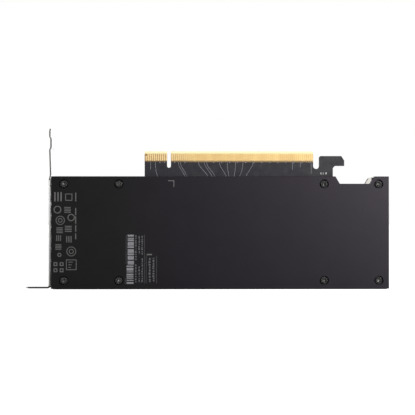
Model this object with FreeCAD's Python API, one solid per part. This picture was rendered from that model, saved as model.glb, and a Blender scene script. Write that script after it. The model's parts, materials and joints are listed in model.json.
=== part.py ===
"""Passive accelerator card: a low-profile, half-length, single-slot edge-connector card.

It stands on its long edge with the edge contacts up. +X runs from the bracket to the far end, +Y from
the solder side to the component side, +Z from the rest edge to the contacts. Sizes are millimetres.

While modelling, x = 0 is the centre of the key notch, y = 0 is the board's solder face and z = 0 is
the rest edge. save() then moves each piece so that the origin is the bottom centre of the whole card.
"""
import FreeCAD, Part
import math
import os

V = FreeCAD.Vector

# ---- Circuit board -----------------------------------------------------------------------------
BOARD_T = 1.57                # laminate thickness
CARD_HEIGHT = 68.9            # rest edge to the contact tips
BOARD_END_INSET = 0.75        # board behind the covers at both ends
BOARD_TOP_INSET = 0.6         # board's shoulders below the covers' top edge
BOARD_RECESS_INSET = 0.8      # board behind the backplate's edge in the latch recess
TONGUE_LEFT = -12.15          # contact tongue, from the key notch towards the bracket
TONGUE_RIGHT = 72.15          # and towards the latch
TONGUE_CORNER = 0.5           # chamfer on the tongue's outer corners
BEVEL_HEIGHT = 1.0            # lead-in bevel along the contact edge
BEVEL_ANGLE = 20.0            # degrees from the board's face
KEY_NOTCH_W = 1.9
KEY_NOTCH_DEPTH = 8.2         # from the contact tips
LATCH_SLOT_W = 3.0
LATCH_SLOT_DEPTH = 8.75       # from the contact tips
HOOK_DROP = 2.3               # hook's top edge below the contact tips
HOOK_W = 12.6
HOOK_NECK_W = 6.9
HOOK_DEPTH = 4.95             # top edge to underside
HOOK_CORNER = 0.6             # chamfer on the hook's corner at the slot
HOOK_NOSE_W = 1.45            # chamfer on the hook's nose
HOOK_NOSE_DEPTH = 2.25
HOOK_THROAT = 1.05            # chamfer between neck and underside

# ---- Edge contacts -----------------------------------------------------------------------------
CONTACT_PITCH = 1.0
CONTACT_W = 0.7
CONTACT_T = 0.06
CONTACT_LENGTH = 4.1
CONTACT_TIP_GAP = 1.05        # contact end to the board's edge
CONTACT_CUT_BACK = 1.2        # presence-detect contacts are this much shorter
KEY_TO_CONTACT = 1.5          # key notch centre to the contacts beside it
CONTACTS_BEFORE_KEY = 11
CONTACTS_AFTER_KEY = 71
SOLDER_SIDE_DETECT = (1,)     # contact numbers, from the bracket end
COMPONENT_SIDE_DETECT = (17, 31, 48, 81)

# ---- Covers: outline shared by backplate, shroud and heat sink ---------------------------------
COVER_LEFT = -58.4
COVER_TO_TIPS = 12.6          # top edge below the contact tips
COVER_PAST_RECESS = 7.2       # latch recess to the far end
RECESS_OFFSET = 20.6          # tongue to the middle of the latch recess
RECESS_TOP_W = 19.5
RECESS_BOTTOM_W = 15.2
RECESS_DEPTH = 3.65

# ---- Backplate ---------------------------------------------------------------------------------
PLATE_T = 1.5
PLATE_GAP = 1.1               # board to plate
PLATE_BOTTOM = 0.4            # above the rest edge
PLATE_EDGE_BREAK = 0.2
PLATE_BOSS_W = 6.4            # square bosses under the screws
COUNTERBORE_D = 4.7
COUNTERBORE_DEPTH = 1.1
FILM_T = 0.2
FILM_INSET = 2.6
FILM_BOSS_GAP = 0.4

# ---- Screws ------------------------------------------------------------------------------------
SCREW_LEFT_INSET = 6.3        # screw centres from the covers' ends and edges
SCREW_RIGHT_INSET = 5.15
SCREW_TOP_INSET = 3.8
SCREW_BOTTOM_INSET = 4.1
SCREW_PAIR_PITCH = 27.25      # between the two columns at each end
SCREW_D = 2.0
SCREW_HEAD_D = 3.5
SCREW_HEAD_H = 0.9
SCREW_IN_SLAB = 1.4           # short screw's tip above the slab's underside
SCREW_IN_STANDOFF = 4.5       # long screw's tip above the slab
SOCKET_W = 1.5                # hexagon socket, across its flats
SOCKET_DEPTH = 0.6
CLEARANCE_HOLE_D = 2.2
THREAD_GAP = 0.05
HOLE_RUNOUT = 0.5

# ---- Processor package -------------------------------------------------------------------------
PACKAGE_X = 25.0
SUBSTRATE_W = 37.5
SUBSTRATE_T = 1.6             # with its solder joints
DIE_W = 17.4
DIE_H = 16.9
DIE_T = 0.78
STIFFENER_BAND = 2.75
STIFFENER_INSET = 0.5
STIFFENER_T = 0.6
PASTE_T = 0.1

# ---- Other parts on the board ------------------------------------------------------------------
MEMORY_W = 12.0
MEMORY_H = 14.0
MEMORY_T = 1.2
MEMORY_OFFSET = 32.0          # package centre to each memory column
MEMORY_ROWS = 3
MEMORY_EDGE_GAP = 3.55        # outermost chips to the covers' edges
MEMORY_PAD_T = 1.0
PAD_INSET = 0.5               # thermal pads inside the parts that they cool
STAGE_W = 5.0
STAGE_H = 6.0
STAGE_T = 0.9
STAGE_PAD_T = 1.0
INDUCTOR_W = 6.6
INDUCTOR_T = 2.9
POLYMER_W = 4.3
POLYMER_H = 7.3
POLYMER_T = 2.8
PHASE_PITCH = 8.2
PHASE_EDGE_GAP = 8.5          # least distance from the power stages to the covers' long edges
STAGE_INSET = 31.3            # power-stage column from the far end of the covers
INDUCTOR_INSET = 23.5
POLYMER_INSET = 15.3
FILTER_INSET = 7.7
FILTER_W = 8.0
FILTER_DROP = 10.5            # filter inductor below the middle line
AUX_STAGE_INSET = 15.9        # memory supply, from the bracket end of the covers
AUX_INDUCTOR_INSET = 23.6
AUX_PHASE_OFFSET = 14.0       # above and below the middle line
CONTROLLER_W = 6.0
CONTROLLER_T = 0.9
CONTROLLER_RISE = 5.0         # supply controller above the middle line
MANAGER_W = 7.0
MANAGER_INSET = 20.4
FLASH_W = 5.2
FLASH_T = 1.7
FLASH_INSET = 9.4
CRYSTAL_W = 2.5
CRYSTAL_H = 3.2
CRYSTAL_T = 0.8
CRYSTAL_INSET = 37.4
CAPACITOR_W = 0.5
CAPACITOR_H = 1.0
CAPACITOR_T = 0.5
DECOUPLING_GRID = 3
DECOUPLING_PITCH = 4.0
COUPLING_PAIRS = 16
COUPLING_PAIR_PITCH = 3.6
COUPLING_PITCH = 1.2
COUPLING_BELOW_CONTACTS = 5.65

# ---- Heat sink ---------------------------------------------------------------------------------
BASE_T = 2.6
BASE_END_INSET = 1.0
PEDESTAL_HEIGHT = 0.55
PEDESTAL_MARGIN = 3.0
LAND_MARGIN = 0.5
SCREW_BOSS_W = 5.4            # square bosses down to the board
DUCT_WALL_T = 1.2
DUCT_WALL_GAP = 0.2           # duct wall behind the plate's edge in the latch recess
FIN_T = 0.35
FIN_PITCH = 2.5
FIN_END_GAP = 3.5             # fins to the standoffs and to the duct wall
FIN_SIDE_GAP = 0.8            # outermost fins to the shroud's walls

# ---- Shroud ------------------------------------------------------------------------------------
COMPONENT_HEIGHT = 14.47      # board's component face to the shroud's outer face
SHROUD_T = 0.8
SHROUD_BEND_R = 0.7           # inside
SHROUD_BOARD_GAP = 0.4
SHROUD_BASE_GAP = 0.2
SHROUD_SEAM = 0.15            # to the duct wall
STANDOFF_W = 4.2              # hexagon standoffs pressed into the shroud, across their flats
STANDOFF_SINK = 0.05          # their ends below the shroud's outer face

# ---- Bracket -----------------------------------------------------------------------------------
BRACKET_T = 0.86
BRACKET_W = 18.42
BRACKET_OVERHANG = 0.35       # beyond the board's solder face
BRACKET_GAP = 0.65            # to the covers
BRACKET_HEIGHT = 79.2         # seat of the tab to the end of the tail
BRACKET_BEND_R = 0.5          # inside
TAB_SEAT = 1.4                # above the rest edge
TAB_LENGTH = 11.45
TAB_CHAMFER = 1.2
TAB_NOTCH_W = 4.42
TAB_NOTCH_DEPTH = 5.4
TAB_NOTCH_INSET = 4.2         # tab's end to the notch's centre line
SHOULDER_TO_TIPS = 14.5       # where the strip narrows, below the contact tips
SHOULDER_LENGTH = 3.0
TAIL_W = 10.19
TAIL_CHAMFER = 1.5
TAIL_LEAN = 0.4               # outward set of the tail
BOW_BELOW_END = 4.1           # shallow bow in the tail, below the tail's end
BOW_LENGTH = 6.6
BOW_RAMP = 1.3
BOW_DEPTH = 0.5
EAR_LENGTH = 9.6
EAR_W = 5.7
EAR_PAST_SCREW = 1.8          # screw centre to the ear's edge beyond it
EAR_CHAMFER = 1.0
EAR_WINDOW_LENGTH = 9.0
VENT_W = 4.8                  # honeycomb air holes, across their flats
VENT_WEB = 1.0                # metal between two holes
VENT_ROWS = 3
VENT_EAR_GAP = 1.5            # least distance from the holes to the ears' windows

OVERSHOOT = 1.0               # how far a cutting shape runs past what it cuts
TINY = 1e-6

# ---- Places that follow from the sizes above ---------------------------------------------------
COVER_TOP = CARD_HEIGHT - COVER_TO_TIPS
MIDDLE = COVER_TOP / 2
RECESS_CENTRE = TONGUE_RIGHT + RECESS_OFFSET
RECESS_RUN = (RECESS_TOP_W - RECESS_BOTTOM_W) / 2
RECESS_BOTTOM = COVER_TOP - RECESS_DEPTH
COVER_RIGHT = RECESS_CENTRE + RECESS_TOP_W / 2 + COVER_PAST_RECESS
BOARD_LEFT = COVER_LEFT + BOARD_END_INSET
BOARD_RIGHT = COVER_RIGHT - BOARD_END_INSET
BOARD_SHOULDER = COVER_TOP - BOARD_TOP_INSET
PLATE_INSIDE = -PLATE_GAP
PLATE_OUTSIDE = PLATE_INSIDE - PLATE_T
HEAD_SEAT = PLATE_OUTSIDE + COUNTERBORE_DEPTH
SHROUD_START = BOARD_T + SHROUD_BOARD_GAP
SHROUD_FRONT = BOARD_T + COMPONENT_HEIGHT
SHROUD_INSIDE = SHROUD_FRONT - SHROUD_T
DIE_TOP = BOARD_T + SUBSTRATE_T + DIE_T
PEDESTAL_FACE = DIE_TOP + PASTE_T
BASE_UNDERSIDE = PEDESTAL_FACE + PEDESTAL_HEIGHT
BASE_FACE = BASE_UNDERSIDE + BASE_T
SHORT_SCREW_TIP = BASE_UNDERSIDE + SCREW_IN_SLAB
LONG_SCREW_TIP = BASE_FACE + SCREW_IN_STANDOFF
BRACKET_INSIDE = COVER_LEFT - BRACKET_GAP
BRACKET_OUTSIDE = BRACKET_INSIDE - BRACKET_T
BRACKET_NEAR = -BRACKET_OVERHANG
BRACKET_FAR = BRACKET_NEAR + BRACKET_W
TAB_END = BRACKET_OUTSIDE - TAB_LENGTH
TAIL_END = TAB_SEAT + BRACKET_HEIGHT
SHOULDER_START = CARD_HEIGHT - SHOULDER_TO_TIPS
SHOULDER_END = SHOULDER_START + SHOULDER_LENGTH
EAR_FACE = BOARD_T + BRACKET_T
SCREW_COLUMNS = (
    COVER_LEFT + SCREW_LEFT_INSET,
    COVER_LEFT + SCREW_LEFT_INSET + SCREW_PAIR_PITCH,
    COVER_RIGHT - SCREW_RIGHT_INSET - SCREW_PAIR_PITCH,
    COVER_RIGHT - SCREW_RIGHT_INSET,
)
SCREW_ROWS = (PLATE_BOTTOM + SCREW_BOTTOM_INSET, COVER_TOP - SCREW_TOP_INSET)
LONG_SCREW_SPOTS = [(x, z) for x in (SCREW_COLUMNS[0], SCREW_COLUMNS[-1]) for z in SCREW_ROWS]
SHORT_SCREW_SPOTS = [(x, z) for x in SCREW_COLUMNS[1:-1] for z in SCREW_ROWS]
SCREW_SPOTS = LONG_SCREW_SPOTS + SHORT_SCREW_SPOTS
PHASE_COUNT = int((COVER_TOP - 2 * PHASE_EDGE_GAP - STAGE_H) / PHASE_PITCH) + 1
PHASE_LEVELS = [MIDDLE + (i - (PHASE_COUNT - 1) / 2) * PHASE_PITCH for i in range(PHASE_COUNT)]
MEMORY_PITCH = (COVER_TOP - 2 * MEMORY_EDGE_GAP - MEMORY_H) / (MEMORY_ROWS - 1)
MEMORY_SPOTS = [
    (PACKAGE_X + side * MEMORY_OFFSET, MIDDLE + (row - (MEMORY_ROWS - 1) / 2) * MEMORY_PITCH)
    for side in (-1, 1)
    for row in range(MEMORY_ROWS)
]
AUX_LEVELS = (MIDDLE - AUX_PHASE_OFFSET, MIDDLE + AUX_PHASE_OFFSET)
STAGE_SPOTS = [(COVER_RIGHT - STAGE_INSET, z) for z in PHASE_LEVELS]
STAGE_SPOTS += [(COVER_LEFT + AUX_STAGE_INSET, z) for z in AUX_LEVELS]
INDUCTOR_SPOTS = [(COVER_RIGHT - INDUCTOR_INSET, z) for z in PHASE_LEVELS]
INDUCTOR_SPOTS += [(COVER_LEFT + AUX_INDUCTOR_INSET, z) for z in AUX_LEVELS]
FRAME_ORIGIN = V((TAB_END + COVER_RIGHT) / 2, (PLATE_OUTSIDE + max(BRACKET_FAR, SHROUD_FRONT)) / 2, 0)


# ---- Shape helpers -----------------------------------------------------------------------------
def rounded_wire(corners, place):
    """Closed wire through (u, v, radius) corners; place() turns u and v into a point."""
    stops = []
    for index, (u, v, radius) in enumerate(corners):
        here = V(u, v, 0)
        if radius == 0:
            stops.append((here, None, here))
            continue
        following = corners[(index + 1) % len(corners)]
        back = (V(corners[index - 1][0], corners[index - 1][1], 0) - here).normalize()
        ahead = (V(following[0], following[1], 0) - here).normalize()
        half_angle = back.getAngle(ahead) / 2
        reach = radius / math.tan(half_angle)
        middle = here + (back + ahead).normalize() * (radius / math.sin(half_angle) - radius)
        stops.append((here + back * reach, middle, here + ahead * reach))
    edges = []
    for index, (start, middle, end) in enumerate(stops):
        if middle is not None:
            edges.append(Part.Arc(place(start), place(middle), place(end)).toShape())
        next_start = stops[(index + 1) % len(stops)][0]
        if end.distanceToPoint(next_start) > TINY:
            edges.append(Part.LineSegment(place(end), place(next_start)).toShape())
    return Part.Wire(edges)


def prism_x(corners, x0, x1):
    """Extrude (y, z, radius) corners along x."""
    wire = rounded_wire(corners, lambda p: V(x0, p.x, p.y))
    return Part.Face(wire).extrude(V(x1 - x0, 0, 0))


def prism_y(corners, y0, y1):
    """Extrude (x, z, radius) corners along y."""
    wire = rounded_wire(corners, lambda p: V(p.x, y0, p.y))
    return Part.Face(wire).extrude(V(0, y1 - y0, 0))


def prism_z(corners, z0, z1):
    """Extrude (x, y, radius) corners along z."""
    wire = rounded_wire(corners, lambda p: V(p.x, p.y, z0))
    return Part.Face(wire).extrude(V(0, 0, z1 - z0))


def block(x0, x1, y0, y1, z0, z1):
    return Part.makeBox(x1 - x0, y1 - y0, z1 - z0, V(x0, y0, z0))


def chip(spot, width, height, y0, y1):
    """Block centred on an (x, z) spot."""
    x, z = spot
    return block(x - width / 2, x + width / 2, y0, y1, z - height / 2, z + height / 2)


def rod(spot, diameter, y0, y1):
    return Part.makeCylinder(diameter / 2, y1 - y0, V(spot[0], y0, spot[1]), V(0, 1, 0))


def threaded_hole(spot, mouth, screw_tip):
    """What a screw's bore removes: round its thread and a little past its tip."""
    return rod(spot, SCREW_D + 2 * THREAD_GAP, mouth, screw_tip + HOLE_RUNOUT)


def joined(solids):
    return solids[0].fuse(solids[1:]).removeSplitter()


def latch_recess(growth, y0, y1):
    """Trapezoid that clears the slot's latch, with floor and flanks moved out by growth."""
    slope = RECESS_RUN / RECESS_DEPTH
    shift = growth * math.hypot(1, slope)
    low = RECESS_BOTTOM - growth
    high = COVER_TOP + OVERSHOOT
    corners = []
    for z, side in ((low, -1), (low, 1), (high, 1), (high, -1)):
        half = RECESS_BOTTOM_W / 2 + shift + (z - RECESS_BOTTOM) * slope
        corners.append((RECESS_CENTRE + side * half, z, 0))
    return prism_y(corners, y0, y1)


def hexagon(u, v, across_flats):
    """Corners of a hexagon with points along u and flats along v."""
    reach = across_flats / math.sqrt(3)
    angles = [math.radians(60 * i) for i in range(6)]
    return [(u + reach * math.cos(a), v + reach * math.sin(a), 0) for a in angles]


# ---- Circuit board and its contacts ------------------------------------------------------------
def tongue():
    """The board's middle part, which carries the contacts, the key notch and the latch hook."""
    hook_left = TONGUE_RIGHT + LATCH_SLOT_W
    neck_right = hook_left + HOOK_NECK_W
    nose = hook_left + HOOK_W
    hook_top = CARD_HEIGHT - HOOK_DROP
    underside = hook_top - HOOK_DEPTH
    slot_bottom = CARD_HEIGHT - LATCH_SLOT_DEPTH
    key_bottom = CARD_HEIGHT - KEY_NOTCH_DEPTH
    key_half = KEY_NOTCH_W / 2
    corners = [
        (TONGUE_LEFT, 0, 0),
        (neck_right, 0, 0),
        (neck_right, underside - HOOK_THROAT, 0),
        (neck_right + HOOK_THROAT, underside, 0),
        (nose, underside, 0),
        (nose, hook_top - HOOK_NOSE_DEPTH, 0),
        (nose - HOOK_NOSE_W, hook_top, 0),
        (hook_left + HOOK_CORNER, hook_top, 0),
        (hook_left, hook_top - HOOK_CORNER, 0),
        (hook_left, slot_bottom, LATCH_SLOT_W / 2),
        (TONGUE_RIGHT, slot_bottom, LATCH_SLOT_W / 2),
        (TONGUE_RIGHT, CARD_HEIGHT - TONGUE_CORNER, 0),
        (TONGUE_RIGHT - TONGUE_CORNER, CARD_HEIGHT, 0),
        (key_half, CARD_HEIGHT, 0),
        (key_half, key_bottom, key_half),
        (-key_half, key_bottom, key_half),
        (-key_half, CARD_HEIGHT, 0),
        (TONGUE_LEFT + TONGUE_CORNER, CARD_HEIGHT, 0),
        (TONGUE_LEFT, CARD_HEIGHT - TONGUE_CORNER, 0),
    ]
    return prism_y(corners, 0, BOARD_T)


def bevel_wedges():
    """What the lead-in bevels take off both faces of the contact edge."""
    depth = BEVEL_HEIGHT * math.tan(math.radians(BEVEL_ANGLE))
    foot = CARD_HEIGHT - BEVEL_HEIGHT
    wedges = []
    for face, inward in ((0, 1), (BOARD_T, -1)):
        corners = [
            (face, foot, 0),
            (face + inward * depth, CARD_HEIGHT, 0),
            (face + inward * depth, CARD_HEIGHT + OVERSHOOT, 0),
            (face - inward * OVERSHOOT, CARD_HEIGHT + OVERSHOOT, 0),
            (face - inward * OVERSHOOT, foot, 0),
        ]
        wedges.append(prism_x(corners, TONGUE_LEFT - OVERSHOOT, TONGUE_RIGHT + OVERSHOOT))
    return wedges


def circuit_board():
    below = -OVERSHOOT
    above = BOARD_T + OVERSHOOT
    body = block(BOARD_LEFT, BOARD_RIGHT, 0, BOARD_T, 0, BOARD_SHOULDER)
    body = body.cut(latch_recess(BOARD_RECESS_INSET, below, above))
    holes = [rod(spot, CLEARANCE_HOLE_D, below, above) for spot in SCREW_SPOTS]
    return joined([body, tongue()]).cut(holes + bevel_wedges())


def contacts(face, outward, detect_numbers):
    """Gold-plated contacts on one face of the tongue, numbered from the bracket end."""
    y0, y1 = sorted((face, face + outward * CONTACT_T))
    top = CARD_HEIGHT - CONTACT_TIP_GAP
    solids = []
    for number in range(1, CONTACTS_BEFORE_KEY + CONTACTS_AFTER_KEY + 1):
        if number <= CONTACTS_BEFORE_KEY:
            x = -KEY_TO_CONTACT - (CONTACTS_BEFORE_KEY - number) * CONTACT_PITCH
        else:
            x = KEY_TO_CONTACT + (number - CONTACTS_BEFORE_KEY - 1) * CONTACT_PITCH
        tip = top - CONTACT_CUT_BACK if number in detect_numbers else top
        solids.append(block(x - CONTACT_W / 2, x + CONTACT_W / 2, y0, y1, top - CONTACT_LENGTH, tip))
    return solids


# ---- Parts soldered to the board ---------------------------------------------------------------
def package_part(width, height, y0, y1):
    return chip((PACKAGE_X, MIDDLE), width, height, y0, y1)


def stiffener_ring():
    y0 = BOARD_T + SUBSTRATE_T
    y1 = y0 + STIFFENER_T
    outer_w = SUBSTRATE_W - 2 * STIFFENER_INSET
    inner_w = outer_w - 2 * STIFFENER_BAND
    opening = package_part(inner_w, inner_w, y0 - OVERSHOOT, y1 + OVERSHOOT)
    return package_part(outer_w, outer_w, y0, y1).cut(opening)


def on_board(spots, width, height, thickness):
    """Equal rectangular parts that stand on the board's component face."""
    return [chip(spot, width, height, BOARD_T, BOARD_T + thickness) for spot in spots]


def thermal_pads(spots, width, height, part_t, pad_t):
    """Pads between the tops of equal parts and the heat sink's lands."""
    y0 = BOARD_T + part_t
    return [chip(spot, width - 2 * PAD_INSET, height - 2 * PAD_INSET, y0, y0 + pad_t) for spot in spots]


def decoupling_capacitors():
    """Grid of ceramic capacitors on the solder side, behind the processor's die."""
    offsets = [(i - (DECOUPLING_GRID - 1) / 2) * DECOUPLING_PITCH for i in range(DECOUPLING_GRID)]
    spots = [(PACKAGE_X + dx, MIDDLE + dz) for dx in offsets for dz in offsets]
    return [chip(spot, CAPACITOR_W, CAPACITOR_H, -CAPACITOR_T, 0) for spot in spots]


def coupling_capacitors():
    """One pair of ceramic capacitors per lane, in a row above the covers' edge."""
    z = CARD_HEIGHT - CONTACT_TIP_GAP - CONTACT_LENGTH - COUPLING_BELOW_CONTACTS
    first = TONGUE_RIGHT - COUPLING_PAIRS * COUPLING_PAIR_PITCH
    spots = []
    for pair in range(COUPLING_PAIRS):
        x = first + pair * COUPLING_PAIR_PITCH
        spots += [(x, z), (x + COUPLING_PITCH, z)]
    return on_board(spots, CAPACITOR_W, CAPACITOR_H, CAPACITOR_T)


# ---- Heat sink ---------------------------------------------------------------------------------
def duct_wall():
    """Wall of the heat sink that follows the latch recess and closes the air duct there."""
    wall = latch_recess(DUCT_WALL_GAP + DUCT_WALL_T, SHROUD_START, SHROUD_INSIDE)
    wall = wall.cut(latch_recess(DUCT_WALL_GAP, SHROUD_START - OVERSHOOT, SHROUD_INSIDE + OVERSHOOT))
    above = block(COVER_LEFT, COVER_RIGHT, 0, SHROUD_FRONT, COVER_TOP, COVER_TOP + 2 * OVERSHOOT)
    return wall.cut(above)


def land(spots, width, height, part_t, pad_t):
    """Raised strip that meets the thermal pads of a column of equal parts."""
    levels = [z for x, z in spots]
    span = max(levels) - min(levels) + height + 2 * LAND_MARGIN
    centre = (spots[0][0], (max(levels) + min(levels)) / 2)
    return chip(centre, width + 2 * LAND_MARGIN, span, BOARD_T + part_t + pad_t, BASE_UNDERSIDE)


def lands():
    """Raised faces that meet the die and the thermal pads."""
    pedestal_w = DIE_W + 2 * PEDESTAL_MARGIN
    pedestal_h = DIE_H + 2 * PEDESTAL_MARGIN
    solids = [package_part(pedestal_w, pedestal_h, PEDESTAL_FACE, BASE_UNDERSIDE)]
    for spots in (MEMORY_SPOTS[:MEMORY_ROWS], MEMORY_SPOTS[MEMORY_ROWS:]):
        solids.append(land(spots, MEMORY_W, MEMORY_H, MEMORY_T, MEMORY_PAD_T))
    for spots in (STAGE_SPOTS[:PHASE_COUNT], STAGE_SPOTS[PHASE_COUNT:]):
        solids.append(land(spots, STAGE_W, STAGE_H, STAGE_T, STAGE_PAD_T))
    return solids


def heatsink_base():
    """Slab with lands, bosses down to the board and the duct wall."""
    side = SHROUD_T + SHROUD_BASE_GAP
    left = COVER_LEFT + BASE_END_INSET
    right = COVER_RIGHT - BASE_END_INSET
    slab = block(left, right, BASE_UNDERSIDE, BASE_FACE, side, COVER_TOP - side)
    slab = slab.cut(latch_recess(DUCT_WALL_GAP, 0, SHROUD_FRONT))
    solids = [slab, duct_wall()] + lands()
    for spot in SCREW_SPOTS:
        foot = EAR_FACE if spot[0] == SCREW_COLUMNS[0] else BOARD_T
        solids.append(chip(spot, SCREW_BOSS_W, SCREW_BOSS_W, foot, BASE_UNDERSIDE))
    holes = [rod(spot, CLEARANCE_HOLE_D, 0, BASE_FACE + OVERSHOOT) for spot in LONG_SCREW_SPOTS]
    holes += [threaded_hole(spot, 0, SHORT_SCREW_TIP) for spot in SHORT_SCREW_SPOTS]
    return joined(solids).cut(holes)


def heatsink_fins():
    """Upright sheet fins that run lengthways from the slab to the shroud."""
    left = SCREW_COLUMNS[0] + STANDOFF_W / 2 + FIN_END_GAP
    full_right = SCREW_COLUMNS[-1] - STANDOFF_W / 2 - FIN_END_GAP
    short_right = RECESS_CENTRE - RECESS_TOP_W / 2 - FIN_END_GAP
    below_recess = RECESS_BOTTOM - DUCT_WALL_GAP - DUCT_WALL_T
    room = COVER_TOP - 2 * (SHROUD_T + FIN_SIDE_GAP) - FIN_T
    count = int(room / FIN_PITCH) + 1
    fins = []
    for index in range(count):
        z0 = MIDDLE - FIN_T / 2 + (index - (count - 1) / 2) * FIN_PITCH
        z1 = z0 + FIN_T
        right = full_right if z1 < below_recess else short_right
        fins.append(block(left, right, BASE_FACE, SHROUD_INSIDE, z0, z1))
    return fins


# ---- Shroud and backplate ----------------------------------------------------------------------
def shroud():
    """Sheet cover bent along both long edges and open at both ends."""
    outer_r = SHROUD_BEND_R + SHROUD_T
    corners = [
        (SHROUD_START, 0, 0),
        (SHROUD_FRONT, 0, outer_r),
        (SHROUD_FRONT, COVER_TOP, outer_r),
        (SHROUD_START, COVER_TOP, 0),
        (SHROUD_START, COVER_TOP - SHROUD_T, 0),
        (SHROUD_INSIDE, COVER_TOP - SHROUD_T, SHROUD_BEND_R),
        (SHROUD_INSIDE, SHROUD_T, SHROUD_BEND_R),
        (SHROUD_START, SHROUD_T, 0),
    ]
    sheet = prism_x(corners, COVER_LEFT, COVER_RIGHT)
    wall_growth = DUCT_WALL_GAP + DUCT_WALL_T + SHROUD_SEAM
    cuts = [
        latch_recess(0, SHROUD_INSIDE - OVERSHOOT, SHROUD_FRONT + OVERSHOOT),
        latch_recess(wall_growth, 0, SHROUD_INSIDE),
    ]
    cuts += [prism_y(hexagon(*spot, STANDOFF_W), SHROUD_INSIDE, SHROUD_FRONT) for spot in LONG_SCREW_SPOTS]
    return sheet.cut(cuts)


def standoff(spot):
    """Hexagon standoff pressed into the shroud's sheet, standing on the slab and bored for a long screw."""
    post = prism_y(hexagon(*spot, STANDOFF_W), BASE_FACE, SHROUD_FRONT - STANDOFF_SINK)
    return post.cut(threaded_hole(spot, BASE_FACE, LONG_SCREW_TIP))


def backplate():
    plate = block(COVER_LEFT, COVER_RIGHT, PLATE_OUTSIDE, PLATE_INSIDE, PLATE_BOTTOM, COVER_TOP)
    plate = plate.cut(latch_recess(0, PLATE_OUTSIDE - OVERSHOOT, 0))
    rim = [edge for edge in plate.Edges if abs(edge.BoundBox.YMax - PLATE_OUTSIDE) < TINY]
    plate = plate.makeChamfer(PLATE_EDGE_BREAK, rim)
    bosses = [chip(spot, PLATE_BOSS_W, PLATE_BOSS_W, PLATE_INSIDE, 0) for spot in SCREW_SPOTS]
    cuts = [rod(spot, COUNTERBORE_D, PLATE_OUTSIDE - OVERSHOOT, HEAD_SEAT) for spot in SCREW_SPOTS]
    cuts += [rod(spot, CLEARANCE_HOLE_D, PLATE_OUTSIDE, OVERSHOOT) for spot in SCREW_SPOTS]
    return joined([plate] + bosses).cut(cuts)


def insulating_film():
    """Film on the plate's inner face, cut out round the plate's bosses."""
    left = COVER_LEFT + FILM_INSET
    right = COVER_RIGHT - FILM_INSET
    y1 = PLATE_INSIDE + FILM_T
    film = block(left, right, PLATE_INSIDE, y1, PLATE_BOTTOM + FILM_INSET, COVER_TOP - FILM_INSET)
    cuts = [latch_recess(FILM_INSET, PLATE_OUTSIDE, 0)]
    opening = PLATE_BOSS_W + 2 * FILM_BOSS_GAP
    cuts += [chip(spot, opening, opening, PLATE_OUTSIDE, 0) for spot in SCREW_SPOTS]
    return film.cut(cuts)


# ---- Screws ------------------------------------------------------------------------------------
def backplate_screw(spot, tip):
    """Machine screw whose head sits on the floor of its counterbore."""
    top = HEAD_SEAT - SCREW_HEAD_H
    head = rod(spot, SCREW_HEAD_D, top, HEAD_SEAT)
    shank = rod(spot, SCREW_D, HEAD_SEAT, tip)
    socket = prism_y(hexagon(*spot, SOCKET_W), top, top + SOCKET_DEPTH)
    return joined([head, shank]).cut(socket)


# ---- Bracket -----------------------------------------------------------------------------------
def bracket_strip():
    """Folded strip seen from the side: tab, upright face and tail with its shallow bow."""
    bow_end = TAIL_END - BOW_BELOW_END
    bow_start = bow_end - BOW_LENGTH
    shape_up = [
        (SHOULDER_END, 0),
        (bow_start, -TAIL_LEAN),
        (bow_start + BOW_RAMP, BOW_DEPTH - TAIL_LEAN),
        (bow_end - BOW_RAMP, BOW_DEPTH - TAIL_LEAN),
        (bow_end, -TAIL_LEAN),
        (TAIL_END, -TAIL_LEAN),
    ]
    corners = [
        (TAB_END, TAB_SEAT - BRACKET_T, 0),
        (BRACKET_INSIDE, TAB_SEAT - BRACKET_T, BRACKET_BEND_R + BRACKET_T),
    ]
    corners += [(BRACKET_INSIDE + set_off, z, 0) for z, set_off in shape_up]
    corners += [(BRACKET_OUTSIDE + set_off, z, 0) for z, set_off in reversed(shape_up)]
    corners += [(BRACKET_OUTSIDE, TAB_SEAT, BRACKET_BEND_R), (TAB_END, TAB_SEAT, 0)]
    return prism_y(corners, BRACKET_NEAR, BRACKET_FAR)


def shoulder_cuts():
    """What is taken off both sides of the strip to leave the shoulders and the narrow tail."""
    step = (BRACKET_W - TAIL_W) / 2
    solids = []
    for edge, inward in ((BRACKET_NEAR, 1), (BRACKET_FAR, -1)):
        tail_side = edge + inward * step
        corners = [
            (edge - inward * OVERSHOOT, SHOULDER_START, 0),
            (edge, SHOULDER_START, 0),
            (tail_side, SHOULDER_END, 0),
            (tail_side, TAIL_END - TAIL_CHAMFER, 0),
            (tail_side + inward * TAIL_CHAMFER, TAIL_END, 0),
            (tail_side + inward * TAIL_CHAMFER, TAIL_END + OVERSHOOT, 0),
            (edge - inward * OVERSHOOT, TAIL_END + OVERSHOOT, 0),
        ]
        solids.append(prism_x(corners, TAB_END, BRACKET_INSIDE + OVERSHOOT))
    return solids


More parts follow.
